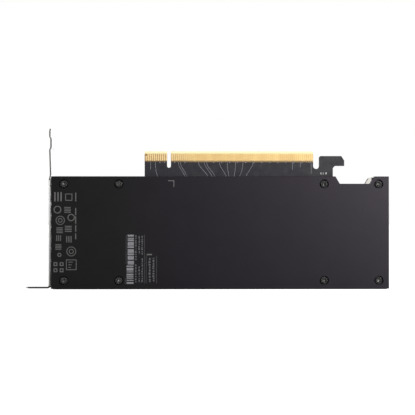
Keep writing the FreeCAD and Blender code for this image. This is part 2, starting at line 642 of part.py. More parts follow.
def tab_cuts():
    """Screw notch and corner chamfers of the tab."""
    z0 = TAB_SEAT - BRACKET_T - OVERSHOOT
    z1 = TAB_SEAT + OVERSHOOT
    centre = TAB_END + TAB_NOTCH_INSET
    half = TAB_NOTCH_W / 2
    depth = BRACKET_FAR - TAB_NOTCH_DEPTH
    notch = [
        (centre - half, BRACKET_FAR + OVERSHOOT, 0),
        (centre - half, depth, half),
        (centre + half, depth, half),
        (centre + half, BRACKET_FAR + OVERSHOOT, 0),
    ]
    solids = [prism_z(notch, z0, z1)]
    for edge, inward in ((BRACKET_NEAR, 1), (BRACKET_FAR, -1)):
        corner = [
            (TAB_END, edge + inward * TAB_CHAMFER, 0),
            (TAB_END - OVERSHOOT, edge + inward * TAB_CHAMFER, 0),
            (TAB_END - OVERSHOOT, edge - inward * OVERSHOOT, 0),
            (TAB_END + TAB_CHAMFER, edge - inward * OVERSHOOT, 0),
            (TAB_END + TAB_CHAMFER, edge, 0),
        ]
        solids.append(prism_z(corner, z0, z1))
    return solids


def ear_span(row):
    """Lowest and highest z of the ear at one row of screws."""
    outward = -1 if row == SCREW_ROWS[0] else 1
    return sorted((row + outward * EAR_PAST_SCREW, row + outward * (EAR_PAST_SCREW - EAR_W)))


def vent_holes():
    """Staggered rows of hexagon air holes through the bracket's face."""
    pitch = VENT_W + VENT_WEB
    centre_y = (BRACKET_NEAR + BRACKET_FAR) / 2
    centre_z = sum(SCREW_ROWS) / 2
    room = ear_span(SCREW_ROWS[1])[0] - ear_span(SCREW_ROWS[0])[1] - 2 * VENT_EAR_GAP
    longest = int((room + VENT_WEB) / pitch)
    solids = []
    for row in range(VENT_ROWS):
        y = centre_y + (row - (VENT_ROWS - 1) / 2) * pitch * math.sqrt(3) / 2
        count = longest - row % 2
        for index in range(count):
            z = centre_z + (index - (count - 1) / 2) * pitch
            hole = hexagon(y, z, VENT_W)
            solids.append(prism_x(hole, BRACKET_OUTSIDE - OVERSHOOT, BRACKET_INSIDE + OVERSHOOT))
    return solids


def ear(row):
    """Ear lanced from the face and bent back over the board's component side."""
    low, high = ear_span(row)
    tip = BRACKET_INSIDE + EAR_LENGTH
    fold = [
        (BRACKET_OUTSIDE, BRACKET_NEAR, 0),
        (BRACKET_INSIDE, BRACKET_NEAR, 0),
        (BRACKET_INSIDE, BOARD_T, BRACKET_BEND_R),
        (tip, BOARD_T, 0),
        (tip, EAR_FACE, 0),
        (BRACKET_OUTSIDE, EAR_FACE, BRACKET_BEND_R + BRACKET_T),
    ]
    blade = [
        (BRACKET_OUTSIDE, low, 0),
        (tip - EAR_CHAMFER, low, 0),
        (tip, low + EAR_CHAMFER, 0),
        (tip, high - EAR_CHAMFER, 0),
        (tip - EAR_CHAMFER, high, 0),
        (BRACKET_OUTSIDE, high, 0),
    ]
    hole = rod((SCREW_COLUMNS[0], row), CLEARANCE_HOLE_D, 0, EAR_FACE + OVERSHOOT)
    return prism_z(fold, low, high).common(prism_y(blade, BRACKET_NEAR, EAR_FACE)).cut(hole)


def io_bracket():
    windows = []
    for row in SCREW_ROWS:
        low, high = ear_span(row)
        x0 = BRACKET_OUTSIDE - OVERSHOOT
        x1 = BRACKET_INSIDE + OVERSHOOT
        windows.append(block(x0, x1, BRACKET_NEAR - OVERSHOOT, EAR_FACE + EAR_WINDOW_LENGTH, low, high))
    strip = bracket_strip().cut(shoulder_cuts() + tab_cuts() + vent_holes() + windows)
    return joined([strip] + [ear(row) for row in SCREW_ROWS])


# ---- Output ------------------------------------------------------------------------------------
def save(name, solids):
    """Write one node as one solid or a group of separate ones, moved to the card's frame."""
    shape = solids[0] if len(solids) == 1 else Part.makeCompound(solids)
    moved = shape.copy()
    moved.translate(FRAME_ORIGIN * -1)
    moved.exportStep("parts/" + name + ".step")


os.makedirs("parts", exist_ok=True)
save("circuit_board", [circuit_board()])
save("solder_side_contacts", contacts(0, -1, SOLDER_SIDE_DETECT))
save("component_side_contacts", contacts(BOARD_T, 1, COMPONENT_SIDE_DETECT))

save("processor_substrate", [package_part(SUBSTRATE_W, SUBSTRATE_W, BOARD_T, BOARD_T + SUBSTRATE_T)])
save("processor_die", [package_part(DIE_W, DIE_H, BOARD_T + SUBSTRATE_T, DIE_TOP)])
save("stiffener_ring", [stiffener_ring()])
save("thermal_paste", [package_part(DIE_W, DIE_H, DIE_TOP, PEDESTAL_FACE)])
save("memory_chips", on_board(MEMORY_SPOTS, MEMORY_W, MEMORY_H, MEMORY_T))
save("memory_thermal_pads", thermal_pads(MEMORY_SPOTS, MEMORY_W, MEMORY_H, MEMORY_T, MEMORY_PAD_T))
save("power_stages", on_board(STAGE_SPOTS, STAGE_W, STAGE_H, STAGE_T))
save("power_stage_thermal_pads", thermal_pads(STAGE_SPOTS, STAGE_W, STAGE_H, STAGE_T, STAGE_PAD_T))
save("power_inductors", on_board(INDUCTOR_SPOTS, INDUCTOR_W, INDUCTOR_W, INDUCTOR_T))
filter_spot = (COVER_RIGHT - FILTER_INSET, MIDDLE - FILTER_DROP)
save("filter_inductor", on_board([filter_spot], FILTER_W, FILTER_W, INDUCTOR_T))
polymer_spots = [(COVER_RIGHT - POLYMER_INSET, z) for z in PHASE_LEVELS]
save("polymer_capacitors", on_board(polymer_spots, POLYMER_W, POLYMER_H, POLYMER_T))
controller_spot = (COVER_RIGHT - FILTER_INSET, MIDDLE + CONTROLLER_RISE)
save("supply_controller", on_board([controller_spot], CONTROLLER_W, CONTROLLER_W, CONTROLLER_T))
manager_spot = (COVER_LEFT + MANAGER_INSET, MIDDLE)
save("management_controller", on_board([manager_spot], MANAGER_W, MANAGER_W, CONTROLLER_T))
flash_spot = (COVER_LEFT + FLASH_INSET, MIDDLE)
save("firmware_memory_chip", on_board([flash_spot], FLASH_W, FLASH_W, FLASH_T))
crystal_spot = (COVER_LEFT + CRYSTAL_INSET, MIDDLE)
save("clock_crystal", on_board([crystal_spot], CRYSTAL_W, CRYSTAL_H, CRYSTAL_T))
save("decoupling_capacitors", decoupling_capacitors())
save("coupling_capacitors", coupling_capacitors())

save("heatsink_base", [heatsink_base()])
save("heatsink_fins", heatsink_fins())
save("shroud", [shroud()])
save("shroud_standoffs", [standoff(spot) for spot in LONG_SCREW_SPOTS])
save("backplate", [backplate()])
save("insulating_film", [insulating_film()])
save("long_backplate_screws", [backplate_screw(spot, LONG_SCREW_TIP) for spot in LONG_SCREW_SPOTS])
save("short_backplate_screws", [backplate_screw(spot, SHORT_SCREW_TIP) for spot in SHORT_SCREW_SPOTS])
save("io_bracket", [io_bracket()])
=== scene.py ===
"""Looks of the passive accelerator card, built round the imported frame.

The card stands on its long edge, backplate towards -Y, and the camera looks at the backplate. Sizes
are in millimetres and turned into metres by MM, unless a comment says otherwise. Places follow from
the frame's nodes.
"""
import json
import math
import random

import bmesh
import bpy
from mathutils import Euler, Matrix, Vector


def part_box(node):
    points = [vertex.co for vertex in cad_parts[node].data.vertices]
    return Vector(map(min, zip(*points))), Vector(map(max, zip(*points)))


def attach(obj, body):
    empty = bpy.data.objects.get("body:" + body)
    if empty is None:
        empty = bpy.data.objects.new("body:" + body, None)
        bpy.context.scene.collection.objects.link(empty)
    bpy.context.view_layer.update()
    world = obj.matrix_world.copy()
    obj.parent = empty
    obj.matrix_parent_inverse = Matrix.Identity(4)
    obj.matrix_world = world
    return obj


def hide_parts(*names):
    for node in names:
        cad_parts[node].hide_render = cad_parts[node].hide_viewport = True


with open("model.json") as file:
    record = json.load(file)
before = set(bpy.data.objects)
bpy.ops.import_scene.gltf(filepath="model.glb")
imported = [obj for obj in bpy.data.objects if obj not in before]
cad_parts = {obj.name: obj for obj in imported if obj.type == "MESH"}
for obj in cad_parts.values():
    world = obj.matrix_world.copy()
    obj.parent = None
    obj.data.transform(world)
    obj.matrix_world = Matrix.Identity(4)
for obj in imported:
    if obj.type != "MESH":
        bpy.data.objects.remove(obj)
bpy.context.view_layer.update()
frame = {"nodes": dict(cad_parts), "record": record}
NODES = frame["nodes"]

MM = 0.001
SEED = 11
X, Y, Z = 0, 1, 2

# ---- Places taken from the frame ----------------------------------------------------------------
PLATE_LOW, PLATE_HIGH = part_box("backplate")
BOARD_LOW, BOARD_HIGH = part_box("circuit_board")
CONTACT_LOW, CONTACT_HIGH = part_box("solder_side_contacts")
BRACKET_LOW, BRACKET_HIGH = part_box("io_bracket")

# ---- Contacts and bracket, where their boxes don't tell -----------------------------------------
CONTACT_PITCH = 1.0
KEY_NOTCH_IN = 11.85                      # first contact's outer edge to the key notch's middle
TAB_REACH = 11.45                         # tab's end to the bracket's outer face
TAIL_LEAN = 0.4                           # outward set of the bracket's tail
TAIL_BAND = 0.62                          # painted shade on the tail's edge: width of its dark band from the outer face
TAIL_START = BOARD_HIGH.z - 11.5 * MM
BOW_LOW = BRACKET_HIGH.z - 10.7 * MM      # shallow bow near the tail's end
BOW_HIGH = BRACKET_HIGH.z - 4.1 * MM

# ---- Camera -------------------------------------------------------------------------------------
CAMERA_PLACE = Vector((-7.03, -480.135, 36.08)) * MM
CAMERA_TILT = math.radians(0.5736)        # above the horizon
CAMERA_TURN = math.radians(0.8624)        # from +Y towards +X
LENS = 82.02
SENSOR = 36.0
CLIP_END = 20.0                           # metres

# ---- Light --------------------------------------------------------------------------------------
WHITE_TO_EYE = 1.0                        # floor and world as the camera sees them
FLOOR_HALF = 4.0                          # metres
FLOOR_DROP = 0.01                         # floor below the card's rest edge
FLOOR_GREY = 0.25
FLOOR_GLOW_BEHIND = 0.9                   # floor's light on the card from behind
FLOOR_GLOW_RANGE = (0.02, 0.25)           # y where that light starts and is full, metres
FRONT_LEFT = 0.06                         # world's strength on the card, by direction
FRONT_RIGHT = 0.4
BEHIND = 1.3
WORLD_ACROSS = (-0.6, 0.8)                # directions in x from left to right
WORLD_DEPTH = (-0.15, 0.25)               # directions in y from front to behind
SOFT_BOXES = (                            # side, watts, place and point it faces, in metres
    (0.3, 6.3, Vector((0.4, -0.5, 0.26)), Vector((0.05, 0.0, 0.05))),
    (0.12, 2.4, Vector((-0.42, -0.12, 0.18)), Vector((-0.08, 0.0, 0.03))),
)

# ---- Rounded edges of the frame's nodes ---------------------------------------------------------
EDGE_WIDTHS = {"io_bracket": 0.08, "shroud": 0.08, "heatsink_base": 0.1}
EDGE_SEGMENTS = 2
SHARP_ANGLE = math.radians(35)
FLAT_ANGLE = math.radians(1)
WELD_GAP = 0.001

# ---- Screws -------------------------------------------------------------------------------------
HEAD_D = 3.5
HEAD_H = 0.9
HEAD_EDGE_R = 0.35
HEAD_ARC_STEPS = 5
SCREW_SEGMENTS = 48
SOCKET_W = 1.5                            # across flats
SOCKET_DEPTH = 0.6
SOCKET_EDGE = 0.08
SOCKET_SIDES = 6
SOCKET_SHADE_IN = 0.35                    # head's top to where the painted shade of the socket starts
SHANK_D = 2.0
SHANK_CHAMFER = 0.2
HEAD_SEAT_IN = 1.1                        # plate's outer face to the counterbore's floor
HEAD_TOP_Y = PLATE_LOW.y + (HEAD_SEAT_IN - HEAD_H) * MM

# ---- Print on the plate: u from its left edge, v from its bottom edge ---------------------------
PRINT_T = 0.012
PRINT_NEAR = PLATE_LOW.y - PRINT_T * MM
PRINT_FAR = PLATE_LOW.y + PRINT_T * MM
RING_SEGMENTS = 48
MARK_LINE = 0.34                          # line width of the faint marks
HEAVY_MARK_LINE = MARK_LINE * 1.3
DASH_COLUMN_U = (12.0, 12.5)              # long dashes beside the faint marks
DASH_COLUMN_V = ((24.6, 27.6), (28.4, 31.6), (32.4, 36.0), (36.6, 40.2), (43.4, 47.8))
LABEL_BLOCKS = ((38.0, 41.1, 12.1, 26.9), (37.5, 40.9, 2.5, 11.6))     # u0, u1, v0, v1
STRIPE_HEIGHTS = (0.5, 0.9, 1.4, 1.8)
STRIPE_GAPS = (0.28, 0.4, 0.6)
LEAST_STRIPE = 0.4
TEXT_COLUMNS = (                          # middle u, width, lowest and highest v
    (42.0, 0.8, 14.3, 26.6), (43.65, 0.8, 17.6, 26.3), (45.15, 0.8, 17.0, 26.3),
    (42.0, 0.7, 3.2, 12.1), (43.65, 0.7, 3.4, 11.2), (45.15, 0.75, 3.4, 15.1),
    (48.8, 1.1, 3.3, 15.7), (50.75, 1.0, 3.7, 15.4),
)
TEXT_DASH = (0.35, 1.2)                   # shortest and longest
TEXT_GAP = (0.2, 0.6)
TEXT_INSET = 0.35                         # most that a dash stands in, as a share of its column
LEAST_DASH = 0.3
LABEL_LINE = 0.14
LABEL_LINES = (                           # u, lowest and highest v
    (37.25, 12.3, 26.9), (36.8, 2.4, 5.4), (46.3, 2.7, 26.8), (47.2, 2.7, 16.6), (52.3, 2.7, 16.4),
)
LABEL_TAB = (47.5, 50.05, 16.7, 17.35)
CORNER_MARK_LEFT = 58.0
CORNER_MARK_W = 3.1
CORNER_MARK_BOTTOM = 50.6
CORNER_MARK_H = 3.3
CORNER_MARK_LINE = 0.42

# ---- Board --------------------------------------------------------------------------------------
TRACE_W = 0.16
TRACE_RISE = 0.014
TRACE_STEPS = 12
TRACE_STRAIGHT = 0.4                      # at the contact, before the bend
TRACE_BEHIND_PLATE = 1.0
LONG_SHIFT = 3.2                          # traces that shift further also bend back
TRACE_RUNS = (                            # x at the contacts and behind the plate, from the notch
    (-6.8, -5.4), (4.7, 8.1), (5.7, 9.2), (14.8, 19.7), (17.7, 21.7), (18.8, 23.2),
    (25.2, 28.8), (29.2, 30.2), (33.3, 32.2), (37.0, 34.7), (42.0, 38.4),
)
SHORT_TRACES = ((-9.2, 4.0), (61.8, 4.2), (65.7, 2.6), (71.2, 6.0))    # x and length
STUB_LENGTH = 0.7
STUB_W = 0.36
STUBS_BEFORE = (-9.2, -4.5, -2.2, 2.8, 8.0)
STUB_START = 22.3
STUB_PITCH = 4.02
STUB_COUNT = 13
SPECKS_PAST_CONTACTS = 3.92
SPECKS_ABOVE_PLATE = 1.15
SPECK_WIDTHS = (0.6, 0.35, 0.7)
SPECK_PITCH = 1.25
SPECK_H = 0.9
CAPACITOR_W = 0.5
CAPACITOR_PITCH = 1.2                     # within a pair
CAPACITOR_PAIR_PITCH = 3.6
CAPACITOR_PAIRS = 16
CAPACITOR_END = 0.24
CAPACITOR_SKIN = 0.012


# ---- Mesh helpers -------------------------------------------------------------------------------
def add_piece(name, bm, material):
    """Turn a bmesh into a piece that rides on the card."""
    mesh = bpy.data.meshes.new(name)
    bmesh.ops.recalc_face_normals(bm, faces=bm.faces)
    bm.to_mesh(mesh)
    bm.free()
    mesh.materials.append(material)
    piece = bpy.data.objects.new(name, mesh)
    bpy.context.scene.collection.objects.link(piece)
    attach(piece, "root")
    return piece


def add_prism(bm, outline, y0, y1):
    """Closed prism along y over an (x, z) outline, all in metres."""
    near = [bm.verts.new((x, y0, z)) for x, z in outline]
    far = [bm.verts.new((x, y1, z)) for x, z in outline]
    bm.faces.new(near)
    bm.faces.new(far[::-1])
    count = len(outline)
    for i in range(count):
        j = (i + 1) % count
        bm.faces.new((near[i], far[i], far[j], near[j]))


def add_box(bm, low, high):
    """Closed box between two corners, in metres."""
    outline = [(low[0], low[2]), (high[0], low[2]), (high[0], high[2]), (low[0], high[2])]
    add_prism(bm, outline, low[1], high[1])


def circle(bm, centre, radius, y, count):
    """Points on a circle about an (x, z) centre, in metres."""
    points = []
    for i in range(count):
        angle = 2 * math.pi * i / count
        place = (centre[0] + radius * math.cos(angle), y, centre[1] + radius * math.sin(angle))
        points.append(bm.verts.new(place))
    return points


def bridge(bm, first, second):
    """Quads between two closed loops of as many points."""
    count = len(first)
    for i in range(count):
        j = (i + 1) % count
        bm.faces.new((first[i], first[j], second[j], second[i]))


def add_ring(bm, centre, outer, inner, y0, y1):
    """Flat ring along y, in metres."""
    sections = ((outer, y0), (outer, y1), (inner, y1), (inner, y0))
    loops = [circle(bm, centre, radius, y, RING_SEGMENTS) for radius, y in sections]
    for first, second in zip(loops, loops[1:] + loops[:1]):
        bridge(bm, first, second)


# ---- Material helpers ---------------------------------------------------------------------------
def grey(level):
    """Colour of one level, red, green and blue."""
    return (level, level, level)


def map_range(tree, value, low, high, from_low, from_high):
    """Node that turns from_low to from_high into low to high, and stays within them."""
    mapped = tree.nodes.new("ShaderNodeMapRange")
    mapped.inputs["From Min"].default_value = from_low
    mapped.inputs["From Max"].default_value = from_high
    mapped.inputs["To Min"].default_value = low
    mapped.inputs["To Max"].default_value = high
    tree.links.new(value, mapped.inputs["Value"])
    return mapped


def mix_values(tree, factor, first, second):
    """Blend a socket with a fixed number."""
    blend = tree.nodes.new("ShaderNodeMix")
    tree.links.new(factor, blend.inputs["Factor"])
    tree.links.new(first, blend.inputs[2])
    blend.inputs[3].default_value = second
    return blend.outputs[0]


class Shader:
    """A Principled material with short calls for the nodes that the finishes share."""

    def __init__(self, name, colour, roughness, metallic=0.0, specular=0.5):
        self.material = bpy.data.materials.new(name)
        self.material.use_nodes = True
        self.tree = self.material.node_tree
        self.main = self.tree.nodes["Principled BSDF"]
        self.main.inputs["Base Color"].default_value = (*colour, 1)
        self.main.inputs["Roughness"].default_value = roughness
        self.main.inputs["Metallic"].default_value = metallic
        self.main.inputs["Specular IOR Level"].default_value = specular
        self.place = self.node("ShaderNodeTexCoord").outputs["Object"]

    def node(self, kind, **values):
        made = self.tree.nodes.new(kind)
        for key, value in values.items():
            setattr(made, key, value)
        return made

    def link(self, source, target):
        self.tree.links.new(source, target)

    def noise(self, size_mm, stretch=(1, 1, 1), detail=2.0):
        """Noise whose grains are about size_mm across, longer where stretch is small."""
        mapping = self.node("ShaderNodeMapping")
        self.link(self.place, mapping.inputs["Vector"])
        mapping.inputs["Scale"].default_value = [s / (size_mm * MM) for s in stretch]
        noise = self.node("ShaderNodeTexNoise")
        noise.inputs["Scale"].default_value = 1.0
        noise.inputs["Detail"].default_value = detail
        self.link(mapping.outputs["Vector"], noise.inputs["Vector"])
        return noise.outputs["Fac"]

    def ramp(self, value, low, high, from_low=0.3, from_high=0.7):
        """Map a value to a range. Without the last two, it takes the middle of a noise."""
        return map_range(self.tree, value, low, high, from_low, from_high).outputs["Result"]

    def axis(self, index):
        """One coordinate of the surface point in the card's frame."""
        split = self.node("ShaderNodeSeparateXYZ")
        self.link(self.place, split.inputs["Vector"])
        return split.outputs[index]

    def rise(self, index, start, end):
        """0 up to one place on an axis, and 1 from the next."""
        return self.ramp(self.axis(index), 0.0, 1.0, start, end)

    def fall(self, index, start, end):
        """1 up to one place on an axis, and 0 from the next."""
        return self.ramp(self.axis(index), 1.0, 0.0, start, end)

    def facing(self, index):
        """Size of one coordinate of the surface normal."""
        split = self.node("ShaderNodeSeparateXYZ")
        self.link(self.node("ShaderNodeNewGeometry").outputs["Normal"], split.inputs["Vector"])
        size = self.node("ShaderNodeMath", operation="ABSOLUTE")
        self.link(split.outputs[index], size.inputs[0])
        return size.outputs[0]

    def step(self, value, edge, width):
        """0 below the edge and 1 above it."""
        return self.ramp(value, 0.0, 1.0, edge - width / 2, edge + width / 2)

    def maths(self, operation, first, second):
        result = self.node("ShaderNodeMath", operation=operation)
        self.link(first, result.inputs[0])
        self.link(second, result.inputs[1])
        return result.outputs[0]

    def times(self, first, second):
        return self.maths("MULTIPLY", first, second)

    def within_pitch(self):
        """Place across a contact and the gap after it, from 0 to 1."""
        pitches = (CONTACT_HIGH.x - CONTACT_LOW.x) / (CONTACT_PITCH * MM)
        count = self.ramp(self.axis(X), 0.0, pitches, CONTACT_LOW.x, CONTACT_HIGH.x)
        place = self.node("ShaderNodeMath", operation="FRACT")
        self.link(count, place.inputs[0])
        return place.outputs[0]

    def mix(self, factor, first, second, kind="MIX"):
        """Blend two colours, each an (r, g, b) or a socket. The factor is a float or a socket."""
        blend = self.node("ShaderNodeMix", data_type="RGBA", blend_type=kind)
        if isinstance(factor, float):
            blend.inputs["Factor"].default_value = factor
        else:
            self.link(factor, blend.inputs["Factor"])
        for key, value in ((6, first), (7, second)):
            if isinstance(value, tuple):
                blend.inputs[key].default_value = (*value, 1)
            else:
                self.link(value, blend.inputs[key])
        return blend.outputs[2]

    def multiply(self, first, second):
        return self.mix(1.0, first, second, "MULTIPLY")

    def colour(self, socket):
        self.link(socket, self.main.inputs["Base Color"])

    def mottled(self, dark, light, size_mm):
        """Slow, slight change of colour over the surface."""
        self.colour(self.mix(self.ramp(self.noise(size_mm), 0.0, 1.0), dark, light))

    def roughness(self, socket):
        self.link(socket, self.main.inputs["Roughness"])

    def bump(self, height, distance_mm, strength=1.0):
        bump = self.node("ShaderNodeBump")
        bump.inputs["Strength"].default_value = strength
        bump.inputs["Distance"].default_value = distance_mm * MM
        self.link(height, bump.inputs["Height"])
        self.link(bump.outputs["Normal"], self.main.inputs["Normal"])


# ---- Materials ----------------------------------------------------------------------------------
def plate_paint():
    """Satin black, slightly purple further along, with painted light: lighter towards the top and
    the far end.
    """
    shader = Shader("plate_paint", (0.0075, 0.0055, 0.009), 0.42, specular=0.25)
    tint = shader.rise(X, PLATE_LOW.x + 25 * MM, PLATE_LOW.x + 65 * MM)
    tone = shader.mix(tint, (0.0064, 0.0052, 0.0056), (0.0082, 0.0056, 0.0102))
    slow = shader.mix(shader.ramp(shader.noise(30), 0.0, 1.0), grey(0.94), grey(1.06))
    # painted light and shade: darker at the near end and the bottom, lighter at the far end and the
    # top, where the soft box falls
    along = shader.mix(shader.rise(X, PLATE_LOW.x, PLATE_HIGH.x), grey(0.25), grey(1.28))
    height = shader.mix(shader.rise(Z, PLATE_LOW.z, PLATE_HIGH.z), grey(0.75), grey(1.17))
    painted_light_and_shade = shader.multiply(along, height)
    shader.colour(shader.multiply(shader.multiply(tone, slow), painted_light_and_shade))
    shader.roughness(shader.ramp(shader.noise(9, detail=4), 0.405, 0.435))
    shader.bump(shader.noise(0.18, detail=3), 0.003, 0.4)
    return shader.material


def shroud_paint():
    """Satin black, a little lighter than the plate."""
    shader = Shader("shroud_paint", (0.016, 0.016, 0.0175), 0.42, specular=0.35)
    shader.mottled((0.014, 0.014, 0.0155), (0.018, 0.018, 0.0195), 25)
    shader.roughness(shader.ramp(shader.noise(7, detail=4), 0.38, 0.47))
    shader.bump(shader.noise(0.2, detail=3), 0.005, 0.5)
    return shader.material


def board_mask():
    """Black solder mask, bare laminate between the contacts and fibre at the cut edges."""
    shader = Shader("board_mask", (0.02, 0.02, 0.024), 0.33, specular=0.3)
    weave = shader.ramp(shader.noise(0.9, (1, 1, 0.4), 3), 0.0, 1.0)
    mask = shader.mix(weave, (0.016, 0.0152, 0.0188), (0.02, 0.019, 0.0225))
    beside_contacts = shader.step(shader.axis(Z), CONTACT_LOW.z - 0.15 * MM, 0.1 * MM)
    on_tongue = shader.fall(X, CONTACT_HIGH.x + 1.0 * MM, CONTACT_HIGH.x + 1.1 * MM)
    bare = shader.times(beside_contacts, on_tongue)
    past_key = shader.rise(X, CONTACT_LOW.x + 10 * MM, CONTACT_LOW.x + 28 * MM)
    laminate = shader.mix(past_key, (0.18, 0.11, 0.05), (0.46, 0.31, 0.13))
    tip = shader.step(shader.axis(Z), CONTACT_HIGH.z - 0.2 * MM, 0.8 * MM)
    laminate = shader.mix(tip, laminate, (0.67, 0.565, 0.335))
    faces = shader.mix(bare, mask, laminate)
    fibres = shader.mix(weave, (0.05, 0.045, 0.03), (0.09, 0.08, 0.055))
    cut_edge = shader.mix(bare, fibres, laminate)
    face_on = shader.step(shader.facing(Y), 0.6, 0.1)
    shader.colour(shader.mix(face_on, cut_edge, faces))
    shader.roughness(shader.ramp(shader.noise(3, detail=3), 0.28, 0.4))
    shader.bump(shader.noise(0.5, (1, 1, 0.5), 3), 0.006, 0.4)
    return shader.material


def gold_plate():
    """Gold with a slow change of tone along the row, a dark foot and a paler tip.

    Towards the bracket it is paler, and one side of each contact carries painted shade.
    """
    shader = Shader("gold_plate", (0.92, 0.66, 0.28), 0.35, metallic=0.35)
    tone = shader.ramp(shader.noise(5, (1, 1, 0.1), 2), 0.0, 1.0)
    gold = shader.mix(tone, (0.66, 0.44, 0.175), (0.77, 0.55, 0.23))
    near_left = shader.fall(X, CONTACT_LOW.x + 8 * MM, CONTACT_LOW.x + 26 * MM)
    gold = shader.mix(near_left, gold, (0.98, 0.75, 0.37))
    # painted shade on one side of each contact, towards the bracket
    painted_shade_side = shader.ramp(shader.within_pitch(), 1.0, 0.0, 0.25, 0.35)
    gold = shader.mix(shader.times(painted_shade_side, near_left), gold, (0.48, 0.3, 0.13))
    foot = shader.fall(Z, CONTACT_LOW.z + 0.25 * MM, CONTACT_LOW.z + 0.65 * MM)
    gold = shader.mix(foot, gold, (0.06, 0.042, 0.03))
    tip = shader.rise(Z, CONTACT_HIGH.z - 0.7 * MM, CONTACT_HIGH.z)
    shader.colour(shader.mix(tip, gold, (0.68, 0.55, 0.3)))
    shader.roughness(shader.ramp(shader.noise(1.4, (1, 1, 0.3), 2), 0.3, 0.4))
    shader.bump(shader.noise(0.3, (1, 1, 0.15), 2), 0.002, 0.3)
    return shader.material


def bracket_plate():
    """Bright plated strip whose sheared edges are dull, with painted light and shade on them: lit
    grey beside the covers and darker downwards, and painted shade on the tail, its bow and the tab.
    """
    shader = Shader("bracket_plate", (0.78, 0.77, 0.76), 0.22, metallic=1.0)
    grain = shader.ramp(shader.noise(0.5, (1, 0.2, 0.06), 3), 0.0, 1.0)
    bright = shader.mix(grain, (0.74, 0.73, 0.72), (0.83, 0.82, 0.81))
    # painted light on the wide part's edge: lit grey at the top, darker towards the bottom
    painted_light_fade = shader.rise(Z, BRACKET_LOW.z + 1 * MM, PLATE_HIGH.z - 11 * MM)
    painted_light_wide_edge = shader.mix(painted_light_fade, (0.33, 0.325, 0.315), (0.9, 0.9, 0.89))
    on_tail = shader.step(shader.axis(Z), PLATE_HIGH.z - 1.9 * MM, 0.3 * MM)
    off_tab = shader.step(shader.axis(Z), BRACKET_LOW.z + 1.2 * MM, 0.4 * MM)
    # painted shade on the tail's edge: dark in a band by its outer face
    lean = shader.ramp(shader.axis(Z), TAIL_LEAN * MM, 0.0, TAIL_START, BOW_LOW)
    band_end = BRACKET_LOW.x + (TAB_REACH - TAIL_LEAN + TAIL_BAND) * MM
    inner = shader.step(shader.maths("SUBTRACT", shader.axis(X), lean), band_end, 0.06 * MM)
    painted_shade_tail_edge = shader.mix(inner, (0.04, 0.037, 0.036), (0.42, 0.42, 0.41))
    # painted shade in the tail's bow
    painted_shade_bow = shader.times(shader.step(shader.axis(Z), BOW_LOW + 0.1 * MM, 0.4 * MM),
                          shader.fall(Z, BOW_HIGH - 0.4 * MM, BOW_HIGH))
    painted_shade_tail_edge = shader.mix(painted_shade_bow, painted_shade_tail_edge, (0.11, 0.105, 0.1))
    edge = shader.mix(on_tail, painted_light_wide_edge, painted_shade_tail_edge)
    # painted shade on the tab's edges
    edge = shader.mix(off_tab, grey(0.012), edge)
    broad_face = shader.step(shader.facing(X), 0.5, 0.1)
    narrow = shader.mix(broad_face, grey(1), grey(0))
    side_edge = shader.step(shader.facing(Y), 0.7, 0.1)
    sheared = shader.maths("MAXIMUM", side_edge, shader.times(on_tail, narrow))
    shader.colour(shader.mix(sheared, bright, edge))
    shader.link(shader.ramp(sheared, 1.0, 0.0, 0.0, 1.0), shader.main.inputs["Metallic"])
    shine = shader.ramp(shader.noise(0.8, (1, 0.3, 0.08), 3), 0.16, 0.3)
    shader.roughness(shader.maths("MAXIMUM", shine, shader.ramp(sheared, 0.0, 0.7, 0.0, 1.0)))
    shader.bump(shader.noise(0.4, (1, 0.2, 0.06), 2), 0.003, 0.4)
    return shader.material


def black_oxide():
    """Black screws with painted glints in small flecks on the head, and painted shade in the socket
    with painted glints in it.
    """
    shader = Shader("black_oxide", (0.03, 0.03, 0.03), 0.34, specular=0.1)
    # painted glints: small bright flecks on the head
    flecks = shader.step(shader.noise(0.22, detail=1), 0.62, 0.06)
    slow = shader.ramp(shader.noise(1.5), 0.0, 1.0)
    base = shader.mix(slow, grey(0.007), (0.012, 0.0117, 0.0113))
    head_with_painted_glints = shader.mix(flecks, base, (0.15, 0.15, 0.147))
    # painted shade in the socket, with painted glints in it
    in_socket = shader.step(shader.axis(Y), HEAD_TOP_Y + SOCKET_SHADE_IN * MM, 0.1 * MM)
    socket_glints = shader.step(shader.noise(0.35, detail=1), 0.53, 0.06)
    socket = shader.mix(socket_glints, grey(0.006), (0.3, 0.3, 0.295))
    shader.colour(shader.mix(in_socket, head_with_painted_glints, socket))
    shader.roughness(shader.ramp(shader.noise(0.4), 0.28, 0.42))
    shader.bump(shader.noise(0.15), 0.003, 0.4)
    return shader.material


def bare_metal(name, dark, light, roughness, grain_mm, stretch=(1, 1, 1)):
    """Brushed or plain metal, whose grain runs along the axis where stretch is small."""
    shader = Shader(name, dark, roughness, metallic=1.0)
    grain = shader.noise(grain_mm, stretch, 3)
    shader.colour(shader.mix(shader.ramp(grain, 0.0, 1.0), dark, light))
    shader.roughness(shader.ramp(grain, roughness - 0.06, roughness + 0.08))
    shader.bump(grain, 0.004, 0.4)
    return shader.material


def moulded(name, dark, light, roughness, grain_mm):
    """Epoxy, ferrite, ceramic, rubber or film: matt to glossy, with a fine grain."""
    shader = Shader(name, dark, roughness)
    shader.mottled(dark, light, grain_mm * 12)
    shader.roughness(shader.ramp(shader.noise(grain_mm * 6), roughness - 0.05, roughness + 0.06))
    shader.bump(shader.noise(grain_mm, detail=3), 0.006, 0.5)
    return shader.material


def ink(name, level, tint=(1, 1, 1)):
    """Matt print, a little uneven, of one grey level."""
    shader = Shader(name, grey(level), 0.6, specular=0.3)
    dark = tuple(level * 0.85 * t for t in tint)
    light = tuple(level * 1.1 * t for t in tint)
    shader.mottled(dark, light, 0.7)
    return shader.material


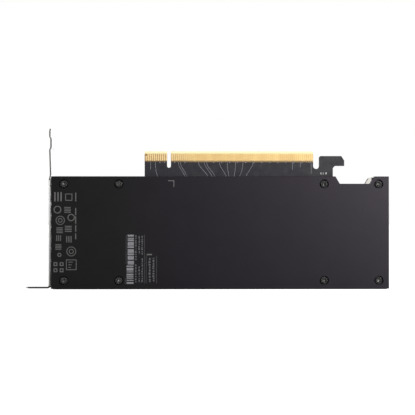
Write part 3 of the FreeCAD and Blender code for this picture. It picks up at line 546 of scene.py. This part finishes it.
METALS = {                                # dark, light, roughness, grain and its stretch
    "sink_aluminium": ((0.5, 0.485, 0.43), (0.58, 0.565, 0.51), 0.4, 0.4, (0.15, 1, 1)),
    "fin_aluminium": ((0.76, 0.76, 0.75), (0.86, 0.86, 0.85), 0.28, 0.5, (0.1, 1, 1)),
    "stiffener_metal": ((0.62, 0.58, 0.52), (0.72, 0.68, 0.62), 0.3, 0.3),
    "crystal_can": ((0.62, 0.61, 0.58), (0.74, 0.73, 0.7), 0.28, 0.3),
    "standoff_steel": ((0.52, 0.51, 0.48), (0.66, 0.65, 0.62), 0.3, 0.3, (1, 0.2, 1)),
}
MOULDED = {                               # dark, light, roughness and grain
    "substrate_laminate": ((0.03, 0.1, 0.04), (0.045, 0.13, 0.055), 0.35, 0.3),
    "silicon": ((0.14, 0.15, 0.18), (0.17, 0.18, 0.21), 0.15, 0.5),
    "paste_grey": (grey(0.38), grey(0.5), 0.6, 0.2),
    "pad_blue": ((0.34, 0.42, 0.52), (0.42, 0.5, 0.6), 0.7, 0.2),
    "chip_epoxy": (grey(0.018), grey(0.03), 0.55, 0.12),
    "ferrite_grey": (grey(0.06), grey(0.1), 0.62, 0.15),
    "polymer_black": ((0.02, 0.02, 0.023), (0.032, 0.032, 0.035), 0.3, 0.15),
    "ceramic_tan": ((0.36, 0.25, 0.15), (0.46, 0.34, 0.22), 0.45, 0.08),
    "film_black": ((0.012, 0.012, 0.013), (0.02, 0.02, 0.021), 0.28, 0.6),
}
FINISHES = {
    "plate_black": plate_paint(),
    "shroud_black": shroud_paint(),
    "bracket_steel": bracket_plate(),
    "board_laminate": board_mask(),
    "contact_gold": gold_plate(),
    "screw_black": black_oxide(),
    **{name: bare_metal(name, *values) for name, values in METALS.items()},
    **{name: moulded(name, *values) for name, values in MOULDED.items()},
}
SOLDER = bare_metal("solder", grey(0.6), (0.75, 0.75, 0.76), 0.3, 0.2)
LABEL_TINT = (1.0, 0.98, 1.05)
TRACE = ink("trace_mask", 0.17, (1.0, 0.99, 1.06))
MARK_INK = ink("mark_ink", 0.07, (1.0, 0.98, 0.95))
LABEL_INK = ink("label_ink", 0.14, LABEL_TINT)
LABEL_DIM_INK = ink("label_dim_ink", 0.062, LABEL_TINT)
CORNER_INK = ink("corner_ink", 0.08)
WHITE_INK = ink("white_ink", 0.27)


# ---- Frame --------------------------------------------------------------------------------------
def dress_frame():
    """Give every node of the frame the finish of its slot."""
    slots = {entry["node"]: entry["material_slot"] for entry in frame["record"]["subparts"]}
    for name, node in NODES.items():
        node.data.materials.clear()
        node.data.materials.append(FINISHES[slots[name]])


def soften(name, width_mm):
    """Round a node's sharp edges slightly."""
    node = NODES[name]
    weld = node.modifiers.new("weld", "WELD")
    weld.merge_threshold = WELD_GAP * MM
    flat = node.modifiers.new("flat", "DECIMATE")
    flat.decimate_type = "DISSOLVE"
    flat.angle_limit = FLAT_ANGLE
    bevel = node.modifiers.new("bevel", "BEVEL")
    bevel.width = width_mm * MM
    bevel.segments = EDGE_SEGMENTS
    bevel.limit_method = "ANGLE"
    bevel.angle_limit = SHARP_ANGLE
    bevel.harden_normals = True


# ---- Screws -------------------------------------------------------------------------------------
def head_profile(tip_y):
    """(radius, y) of a screw from the rim of its head's top to its tip."""
    head, edge, shank = HEAD_D / 2 * MM, HEAD_EDGE_R * MM, SHANK_D / 2 * MM
    seat = PLATE_LOW.y + HEAD_SEAT_IN * MM
    chamfer = SHANK_CHAMFER * MM
    profile = []
    for i in range(HEAD_ARC_STEPS + 1):
        angle = math.pi / 2 * i / HEAD_ARC_STEPS
        profile.append((head - edge + edge * math.sin(angle),
                        HEAD_TOP_Y + edge - edge * math.cos(angle)))
    profile += [(head, seat), (shank, seat)]
    return profile + [(shank, tip_y - chamfer), (shank - chamfer, tip_y)]


def add_screw(bm, x, z, tip_y):
    """Socket screw along y: rounded head, hexagon socket with a broken edge, plain shank."""
    rings = [circle(bm, (x, z), radius, y, SCREW_SEGMENTS) for radius, y in head_profile(tip_y)]
    for first, second in zip(rings, rings[1:]):
        bridge(bm, first, second)
    bm.faces.new(rings[-1])
    socket = SOCKET_W / math.sqrt(3) * MM
    rim = socket + SOCKET_EDGE * MM
    sections = ((rim, HEAD_TOP_Y), (socket, HEAD_TOP_Y + SOCKET_EDGE * MM),
                (socket, HEAD_TOP_Y + SOCKET_DEPTH * MM))
    hexagons = [circle(bm, (x, z), reach, y, SOCKET_SIDES) for reach, y in sections]
    per_side = SCREW_SEGMENTS // SOCKET_SIDES
    for side in range(SOCKET_SIDES):
        after = (side + 1) % SOCKET_SIDES
        arc = [rings[0][(side * per_side + k) % SCREW_SEGMENTS] for k in range(per_side + 1)]
        bm.faces.new([hexagons[0][side]] + arc + [hexagons[0][after]])
        for first, second in zip(hexagons, hexagons[1:]):
            bm.faces.new((first[side], first[after], second[after], second[side]))
    bm.faces.new(hexagons[-1])


def screws(node):
    """The screws of one node, placed by its box: one at each corner, as deep as the box."""
    low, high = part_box(node)
    reach = HEAD_D / 2 * MM
    bm = bmesh.new()
    for x in (low.x + reach, high.x - reach):
        for z in (low.z + reach, high.z - reach):
            add_screw(bm, x, z, high.y)
    piece = add_piece(node + "_detail", bm, FINISHES["screw_black"])
    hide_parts(node)
    return piece


# ---- Print on the plate -------------------------------------------------------------------------
def on_plate(u, v):
    """The (x, z) of a place on the plate, in metres."""
    return PLATE_LOW.x + u * MM, PLATE_LOW.z + v * MM


def printed_bar(bm, u0, u1, v0, v1):
    """Printed rectangle on the plate."""
    x0, z0 = on_plate(u0, v0)
    x1, z1 = on_plate(u1, v1)
    add_box(bm, (x0, PRINT_NEAR, z0), (x1, PRINT_FAR, z1))


def printed_frame(bm, u0, u1, v0, v1, line):
    """Open rectangle of thin lines."""
    printed_bar(bm, u0, u1, v0, v0 + line)
    printed_bar(bm, u0, u1, v1 - line, v1)
    printed_bar(bm, u0, u0 + line, v0 + line, v1 - line)
    printed_bar(bm, u1 - line, u1, v0 + line, v1 - line)


def printed_ring(bm, u, v, diameter, line):
    """Printed ring on the plate."""
    outer = diameter / 2 * MM
    add_ring(bm, on_plate(u, v), outer, outer - line * MM, PRINT_NEAR, PRINT_FAR)


def ring_mark(bm, u, v, size):
    """Heavy ring."""
    printed_ring(bm, u, v, size, HEAVY_MARK_LINE)


def double_ring_mark(bm, u, v, size):
    """Ring with another of half its size in it."""
    printed_ring(bm, u, v, size, MARK_LINE)
    printed_ring(bm, u, v, size * 0.5, MARK_LINE)


def square_mark(bm, u, v, size):
    """Open square."""
    half = size / 2
    printed_frame(bm, u - half, u + half, v - half, v + half, MARK_LINE)


def dashed_square_mark(bm, u, v, size):
    """Square frame with three level dashes in it, each longer than the one below."""
    square_mark(bm, u, v, size)
    left = u - size * 0.28
    for i in (-1, 0, 1):
        level = v + i * size / 4
        right = u + size * (0.05 + 0.1 * i)
        printed_bar(bm, left, right, level - MARK_LINE / 2, level + MARK_LINE / 2)


def blocks_mark(bm, u, v, size):
    """Four small open blocks in a square."""
    half = size / 2
    block = size * 0.38
    for du in (-half, half - block):
        for dv in (-half, half - block):
            left, low = u + du, v + dv
            printed_frame(bm, left, left + block, low, low + block, HEAVY_MARK_LINE)


def bars_mark(bm, u, v, size):
    """Four level bars, one above the other."""
    half = size / 2
    pitch = size / 4
    for i in range(4):
        low = v - half + i * pitch
        printed_bar(bm, u - half, u + half, low, low + pitch * 0.5)


def upright_mark(bm, u, v, size):
    """Three upright bars, side by side."""
    half = size / 2
    pitch = size / 3
    for i in range(3):
        left = u - half + i * pitch
        printed_bar(bm, left, left + pitch * 0.45, v - half, v + half)


FAINT_MARKS = (                           # mark, middle u and v, size
    (upright_mark, 3.9, 45.7, 4.6), (ring_mark, 3.2, 39.3, 3.8), (double_ring_mark, 4.6, 34.0, 4.5),
    (bars_mark, 4.3, 29.3, 3.2), (upright_mark, 4.1, 25.2, 2.8), (bars_mark, 3.7, 21.0, 3.0),
    (ring_mark, 4.2, 16.9, 2.0), (blocks_mark, 3.8, 10.8, 4.9),
    (square_mark, 8.8, 45.5, 3.5), (bars_mark, 8.2, 39.4, 3.2), (ring_mark, 10.0, 35.4, 3.6),
    (bars_mark, 8.6, 30.0, 3.4), (upright_mark, 9.2, 24.6, 3.2),
    (double_ring_mark, 10.1, 18.6, 4.8), (dashed_square_mark, 10.1, 12.0, 5.2),
)


def faint_marks():
    """Two columns of plain marks and a column of dashes by the bracket."""
    bm = bmesh.new()
    for mark, u, v, size in FAINT_MARKS:
        mark(bm, u, v, size)
    for bottom, top in DASH_COLUMN_V:
        printed_bar(bm, *DASH_COLUMN_U, bottom, top)
    return add_piece("faint_marks", bm, MARK_INK)


def label_bars():
    """Two blocks of level stripes of uneven thickness."""
    draw = random.Random(SEED)
    bm = bmesh.new()
    for left, right, bottom, top in LABEL_BLOCKS:
        v = bottom
        while v < top - LEAST_STRIPE:
            high = min(v + draw.choice(STRIPE_HEIGHTS), top)
            printed_bar(bm, left, right, v, high)
            v = high + draw.choice(STRIPE_GAPS)
    return add_piece("label_bars", bm, LABEL_INK)


def dash_column(bm, draw, u, width, bottom, top):
    """Column of short dashes of uneven length."""
    v = bottom
    while v < top - LEAST_DASH:
        length = min(draw.uniform(*TEXT_DASH), top - v)
        inset = draw.uniform(0.0, TEXT_INSET) * width
        printed_bar(bm, u - width / 2 + inset, u + width / 2, v, v + length)
        v += length + draw.uniform(*TEXT_GAP)


def label_dashes():
    """Columns of dashes in the places of the labels' text."""
    draw = random.Random(SEED)
    bm = bmesh.new()
    for column in TEXT_COLUMNS:
        dash_column(bm, draw, *column)
    return add_piece("label_dashes", bm, LABEL_DIM_INK)


def label_lines():
    """Thin upright lines at the sides of the two labels."""
    bm = bmesh.new()
    for u, bottom, top in LABEL_LINES:
        printed_bar(bm, u - LABEL_LINE / 2, u + LABEL_LINE / 2, bottom, top)
    return add_piece("label_lines", bm, LABEL_DIM_INK)


def label_tab():
    """Short bar above the right-hand label."""
    bm = bmesh.new()
    printed_bar(bm, *LABEL_TAB)
    return add_piece("label_tab", bm, CORNER_INK)


def corner_mark():
    """Angle that marks the corner of the processor's place."""
    left_x, bottom_z = on_plate(CORNER_MARK_LEFT, CORNER_MARK_BOTTOM)
    right_x, top_z = on_plate(CORNER_MARK_LEFT + CORNER_MARK_W, CORNER_MARK_BOTTOM + CORNER_MARK_H)
    line = CORNER_MARK_LINE * MM
    outline = [(left_x, top_z), (left_x, top_z - line), (right_x - line, top_z - line),
               (right_x - line, bottom_z), (right_x, bottom_z), (right_x, top_z)]
    bm = bmesh.new()
    add_prism(bm, outline, PRINT_NEAR, PRINT_FAR)
    return add_piece("corner_mark", bm, CORNER_INK)


# ---- Board --------------------------------------------------------------------------------------
def add_strip(bm, lefts, rights, low, top):
    """Closed strip between two rails of (x, z) points, all in metres."""
    rows = []
    for (lx, lz), (rx, rz) in zip(lefts, rights):
        corners = ((lx, low, lz), (lx, top, lz), (rx, top, rz), (rx, low, rz))
        rows.append([bm.verts.new(corner) for corner in corners])
    for first, second in zip(rows, rows[1:]):
        bridge(bm, first, second)
    bm.faces.new(rows[0])
    bm.faces.new(rows[-1][::-1])


def add_trace(bm, points, width_mm):
    """Thin raised ribbon on the board's solder side, along (x, z) points in metres."""
    half = width_mm * MM / 2
    lefts, rights = [], []
    for i, (x, z) in enumerate(points):
        before = points[max(i - 1, 0)]
        after = points[min(i + 1, len(points) - 1)]
        run = Vector((after[0] - before[0], after[1] - before[1])).normalized()
        lefts.append((x - run.y * half, z + run.x * half))
        rights.append((x + run.y * half, z - run.x * half))
    rise = TRACE_RISE * MM
    add_strip(bm, lefts, rights, BOARD_LOW.y + rise, BOARD_LOW.y - rise)


def trace_points(start, end, top_z, end_z):
    """Trace that leaves a contact straight and bends towards the processor."""
    bend_z = top_z - TRACE_STRAIGHT * MM
    bends_back = abs(end - start) > LONG_SHIFT * MM
    points = [(start, top_z)]
    for i in range(TRACE_STEPS + 1):
        t = i / TRACE_STEPS
        ease = t * t * (3 - 2 * t) if bends_back else t * t
        points.append((start + (end - start) * ease, bend_z + (end_z - bend_z) * t))
    return points


def traces():
    """Traces that run together behind the plate, and the short ends of the others."""
    bm = bmesh.new()
    top_z = CONTACT_LOW.z
    end_z = PLATE_HIGH.z - TRACE_BEHIND_PLATE * MM
    notch_x = CONTACT_LOW.x + KEY_NOTCH_IN * MM
    for start, end in TRACE_RUNS:
        add_trace(bm, trace_points(notch_x + start * MM, notch_x + end * MM, top_z, end_z), TRACE_W)
    stubs = STUBS_BEFORE + tuple(STUB_START + i * STUB_PITCH for i in range(STUB_COUNT))
    ends = [(start, STUB_LENGTH, STUB_W) for start in stubs]
    ends += [(start, length, TRACE_W) for start, length in SHORT_TRACES]
    for start, length, width in ends:
        x = notch_x + start * MM
        add_trace(bm, [(x, top_z), (x, top_z - length * MM)], width)
    return add_piece("board_traces", bm, TRACE)


def board_specks():
    """Three plain white spots beside the latch slot."""
    bm = bmesh.new()
    left = CONTACT_HIGH.x + SPECKS_PAST_CONTACTS * MM
    low_z = PLATE_HIGH.z + SPECKS_ABOVE_PLATE * MM
    near, far = BOARD_LOW.y - PRINT_T * MM, BOARD_LOW.y + PRINT_T * MM
    for i, width in enumerate(SPECK_WIDTHS):
        x = left + i * SPECK_PITCH * MM
        add_box(bm, (x, near, low_z), (x + width * MM, far, low_z + SPECK_H * MM))
    return add_piece("board_specks", bm, WHITE_INK)


def capacitor_ends():
    """Metal ends of the ceramic capacitors above the covers."""
    bm = bmesh.new()
    low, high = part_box("coupling_capacitors")
    skin = CAPACITOR_SKIN * MM
    end = CAPACITOR_END * MM
    for pair in range(CAPACITOR_PAIRS):
        for side in (0, 1):
            x = low.x + (pair * CAPACITOR_PAIR_PITCH + side * CAPACITOR_PITCH) * MM
            for z0, z1 in ((low.z - skin, low.z + end), (high.z - end, high.z + skin)):
                add_box(bm, (x - skin, low.y - skin, z0),
                        (x + CAPACITOR_W * MM + skin, high.y + skin, z1))
    return add_piece("capacitor_ends", bm, SOLDER)


# ---- Stage, light and camera --------------------------------------------------------------------
def white_stage():
    """Floor that looks plain white and throws little light back at the card."""
    bm = bmesh.new()
    corners = ((-1, -1), (1, -1), (1, 1), (-1, 1))
    bm.faces.new([bm.verts.new((x * FLOOR_HALF, y * FLOOR_HALF, 0)) for x, y in corners])
    mesh = bpy.data.meshes.new("floor")
    bm.to_mesh(mesh)
    bm.free()
    floor = bpy.data.objects.new("floor", mesh)
    bpy.context.scene.collection.objects.link(floor)
    floor.location.z = -FLOOR_DROP * MM
    shader = Shader("floor_white", grey(FLOOR_GREY), 0.8, specular=0.0)
    shader.main.inputs["Emission Color"].default_value = (1, 1, 1, 1)
    to_eye = shader.node("ShaderNodeLightPath").outputs["Is Camera Ray"]
    behind = shader.ramp(shader.axis(Y), 0.0, FLOOR_GLOW_BEHIND, *FLOOR_GLOW_RANGE)
    glow = mix_values(shader.tree, to_eye, behind, WHITE_TO_EYE)
    shader.link(glow, shader.main.inputs["Emission Strength"])
    mesh.materials.append(shader.material)


def studio_world():
    """White to the eye; dim in front at the left, brighter in front at the right and behind."""
    world = bpy.data.worlds.new("studio")
    bpy.context.scene.world = world
    world.use_nodes = True
    tree = world.node_tree
    background = tree.nodes["Background"]
    split = tree.nodes.new("ShaderNodeSeparateXYZ")
    direction = tree.nodes.new("ShaderNodeTexCoord").outputs["Generated"]
    tree.links.new(direction, split.inputs["Vector"])
    across = map_range(tree, split.outputs["X"], FRONT_LEFT, FRONT_RIGHT, *WORLD_ACROSS)
    across.interpolation_type = "SMOOTHSTEP"
    depth = map_range(tree, split.outputs["Y"], 0.0, 1.0, *WORLD_DEPTH)
    lit = mix_values(tree, depth.outputs["Result"], across.outputs["Result"], BEHIND)
    to_eye = tree.nodes.new("ShaderNodeLightPath").outputs["Is Camera Ray"]
    seen = mix_values(tree, to_eye, lit, WHITE_TO_EYE)
    tree.links.new(seen, background.inputs["Strength"])
    background.inputs["Color"].default_value = (1, 1, 1, 1)


def soft_lights():
    """Soft boxes: a large one in front at the right, and a small one that grazes the left end."""
    for size, power, place, aim in SOFT_BOXES:
        data = bpy.data.lights.new("soft_box", "AREA")
        data.shape = "SQUARE"
        data.size = size
        data.energy = power
        item = bpy.data.objects.new("soft_box", data)
        item.location = place
        item.rotation_euler = (aim - place).to_track_quat("-Z", "Y").to_euler()
        item.visible_camera = False
        bpy.context.scene.collection.objects.link(item)


def camera():
    """Camera solved from the photograph."""
    data = bpy.data.cameras.new("camera")
    data.lens = LENS
    data.sensor_width = SENSOR
    data.clip_end = CLIP_END
    item = bpy.data.objects.new("camera", data)
    item.location = CAMERA_PLACE
    item.rotation_euler = Euler((math.pi / 2 + CAMERA_TILT, 0, -CAMERA_TURN))
    bpy.context.scene.collection.objects.link(item)
    bpy.context.scene.camera = item


bpy.context.scene.view_settings.view_transform = "Standard"
dress_frame()
for node, width in EDGE_WIDTHS.items():
    soften(node, width)
screws("long_backplate_screws")
screws("short_backplate_screws")
faint_marks()
label_bars()
label_dashes()
label_lines()
label_tab()
corner_mark()
traces()
board_specks()
capacitor_ends()
white_stage()
studio_world()
soft_lights()
camera()
